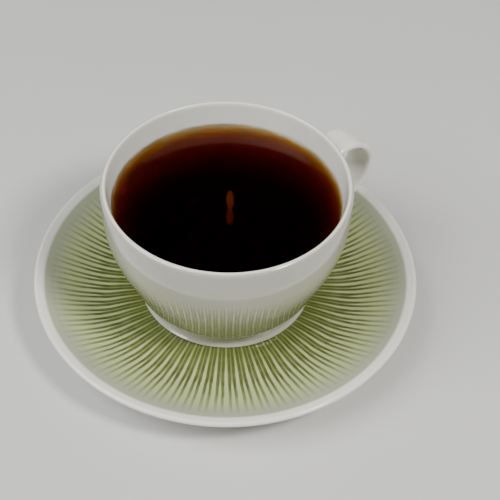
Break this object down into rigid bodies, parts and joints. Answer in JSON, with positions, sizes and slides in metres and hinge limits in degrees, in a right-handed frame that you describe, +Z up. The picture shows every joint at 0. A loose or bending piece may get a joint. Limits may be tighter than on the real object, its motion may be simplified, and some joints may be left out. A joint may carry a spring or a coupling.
{
  "type": "cup of tea",
  "caption": "Round white porcelain cup of black tea with a strap handle, on a saucer with radial green stripes.",
  "frame": {"origin": "on the axis of the cup and saucer, in the plane that the saucer's foot ring stands on", "axes": "+Z up along the axis of the cup and saucer, +X through the middle of the cup's handle"},
  "size_m": [0.161, 0.161, 0.0676],
  "materials": {
    "cup_porcelain": "glossy white glaze",
    "saucer_porcelain": "glossy white glaze over fine radial stripes in olive green, with a plain white edge",
    "black_tea": "still dark red-brown liquid, nearly black where it is deep"
  },
  "bodies": {
    "root": {"cup": "cup_porcelain", "saucer": "saucer_porcelain", "tea": "black_tea"}
  },
  "joints": []
}
